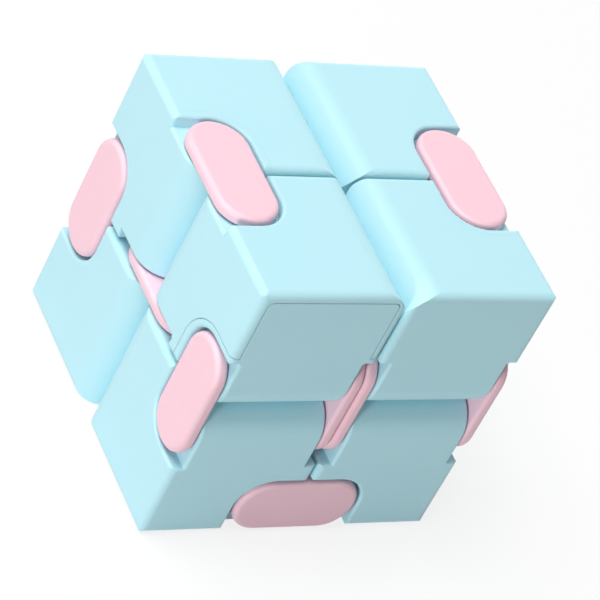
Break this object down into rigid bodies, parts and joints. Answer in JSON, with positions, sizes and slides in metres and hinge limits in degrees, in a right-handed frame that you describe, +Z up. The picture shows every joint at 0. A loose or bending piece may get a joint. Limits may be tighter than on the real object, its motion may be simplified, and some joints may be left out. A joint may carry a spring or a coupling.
{
  "type": "infinity cube",
  "caption": "Folding fidget toy: hollow pastel cubes hinged in a closed loop by obround link plates, so the block opens out flat and folds round on itself",
  "frame": {"origin": "centre of the square that the closed block stands on", "axes": "+Z up, front towards -Y, left towards -X; the picture looks from the left, the front and above"},
  "size_m": [0.0404, 0.0404, 0.0402],
  "materials": {
    "cube_plastic": "satin moulded ABS, pale cyan",
    "link_plastic": "satin moulded plastic, pale pink"
  },
  "bodies": {
    "left_front_upper": {"left_front_upper_shell": "cube_plastic", "left_front_upper_lid": "cube_plastic"},
    "left_back_upper": {"left_back_upper_shell": "cube_plastic", "left_back_upper_lid": "cube_plastic"},
    "right_front_upper": {"right_front_upper_shell": "cube_plastic", "right_front_upper_lid": "cube_plastic"},
    "right_back_upper": {"right_back_upper_shell": "cube_plastic", "right_back_upper_lid": "cube_plastic"},
    "left_front_lower": {"left_front_lower_shell": "cube_plastic", "left_front_lower_lid": "cube_plastic"},
    "left_back_lower": {"left_back_lower_shell": "cube_plastic", "left_back_lower_lid": "cube_plastic"},
    "right_front_lower": {"right_front_lower_shell": "cube_plastic", "right_front_lower_lid": "cube_plastic"},
    "right_back_lower": {"right_back_lower_shell": "cube_plastic", "right_back_lower_lid": "cube_plastic"},
    "left_hinge_links": {"left_hinge_top_link": "link_plastic", "left_hinge_under_link": "link_plastic"},
    "right_hinge_links": {"right_hinge_top_link": "link_plastic", "right_hinge_under_link": "link_plastic"},
    "left_front_hinge_links": {"left_front_hinge_outer_link": "link_plastic", "left_front_hinge_inner_link": "link_plastic"},
    "right_front_hinge_links": {"right_front_hinge_outer_link": "link_plastic", "right_front_hinge_inner_link": "link_plastic"},
    "left_back_hinge_links": {"left_back_hinge_outer_link": "link_plastic", "left_back_hinge_inner_link": "link_plastic"},
    "right_back_hinge_links": {"right_back_hinge_outer_link": "link_plastic", "right_back_hinge_inner_link": "link_plastic"},
    "front_base_hinge_links": {"front_base_hinge_outer_link": "link_plastic", "front_base_hinge_inner_link": "link_plastic"},
    "back_base_hinge_links": {"back_base_hinge_outer_link": "link_plastic", "back_base_hinge_inner_link": "link_plastic"}
  },
  "joints": [
    {"name": "front_fold", "type": "hinge", "parent": "left_front_upper", "child": "left_front_hinge_links", "pos_m": [-0.0101, -0.01585, 0.02435], "axis": [-1, 0, 0], "range_deg": [0, 90]},
    {"name": "left_front_lower_turn", "type": "hinge", "parent": "left_front_hinge_links", "child": "left_front_lower", "pos_m": [-0.0101, -0.01585, 0.01565], "axis": [-1, 0, 0], "range_deg": [0, 90]},
    {"name": "book_fold", "type": "hinge", "parent": "left_front_lower", "child": "front_base_hinge_links", "pos_m": [-0.00435, -0.0101, 0.00415], "axis": [0, 1, 0], "range_deg": [0, 90]},
    {"name": "right_front_lower_turn", "type": "hinge", "parent": "front_base_hinge_links", "child": "right_front_lower", "pos_m": [0.00435, -0.0101, 0.00415], "axis": [0, 1, 0], "range_deg": [0, 90]},
    {"name": "right_front_link_turn", "type": "hinge", "parent": "right_front_lower", "child": "right_front_hinge_links", "pos_m": [0.0101, -0.01585, 0.01565], "axis": [1, 0, 0], "range_deg": [0, 90]},
    {"name": "right_front_upper_turn", "type": "hinge", "parent": "right_front_hinge_links", "child": "right_front_upper", "pos_m": [0.0101, -0.01585, 0.02435], "axis": [1, 0, 0], "range_deg": [0, 90]},
    {"name": "right_link_turn", "type": "hinge", "parent": "right_front_upper", "child": "right_hinge_links", "pos_m": [0.01585, -0.00435, 0.0301], "axis": [0, 0, -1], "range_deg": [0, 90]},
    {"name": "side_fold", "type": "hinge", "parent": "left_front_upper", "child": "left_hinge_links", "pos_m": [-0.01585, -0.00435, 0.0301], "axis": [0, 0, 1], "range_deg": [0, 90]},
    {"name": "left_back_upper_turn", "type": "hinge", "parent": "left_hinge_links", "child": "left_back_upper", "pos_m": [-0.01585, 0.00435, 0.0301], "axis": [0, 0, 1], "range_deg": [0, 90]},
    {"name": "back_fold", "type": "hinge", "parent": "left_back_upper", "child": "left_back_hinge_links", "pos_m": [-0.0101, 0.01585, 0.02435], "axis": [1, 0, 0], "range_deg": [0, 90]},
    {"name": "left_back_lower_turn", "type": "hinge", "parent": "left_back_hinge_links", "child": "left_back_lower", "pos_m": [-0.0101, 0.01585, 0.01565], "axis": [1, 0, 0], "range_deg": [0, 90]},
    {"name": "back_base_link_turn", "type": "hinge", "parent": "left_back_lower", "child": "back_base_hinge_links", "pos_m": [-0.00435, 0.0101, 0.00415], "axis": [0, 1, 0], "range_deg": [0, 90]},
    {"name": "right_back_lower_turn", "type": "hinge", "parent": "back_base_hinge_links", "child": "right_back_lower", "pos_m": [0.00435, 0.0101, 0.00415], "axis": [0, 1, 0], "range_deg": [0, 90]},
    {"name": "right_back_link_turn", "type": "hinge", "parent": "right_back_lower", "child": "right_back_hinge_links", "pos_m": [0.0101, 0.01585, 0.01565], "axis": [-1, 0, 0], "range_deg": [0, 90]},
    {"name": "right_back_upper_turn", "type": "hinge", "parent": "right_back_hinge_links", "child": "right_back_upper", "pos_m": [0.0101, 0.01585, 0.02435], "axis": [-1, 0, 0], "range_deg": [0, 90]}
  ],
  "couplings": [
    {"joint": "left_front_lower_turn", "follows": "front_fold", "ratio": 1},
    {"joint": "right_front_link_turn", "follows": "front_fold", "ratio": 1},
    {"joint": "right_front_upper_turn", "follows": "front_fold", "ratio": 1},
    {"joint": "right_front_lower_turn", "follows": "book_fold", "ratio": 1},
    {"joint": "back_base_link_turn", "follows": "book_fold", "ratio": 1},
    {"joint": "right_back_lower_turn", "follows": "book_fold", "ratio": 1},
    {"joint": "left_back_upper_turn", "follows": "side_fold", "ratio": 1},
    {"joint": "right_link_turn", "follows": "side_fold", "ratio": 1},
    {"joint": "left_back_lower_turn", "follows": "back_fold", "ratio": 1},
    {"joint": "right_back_link_turn", "follows": "back_fold", "ratio": 1},
    {"joint": "right_back_upper_turn", "follows": "back_fold", "ratio": 1}
  ]
}
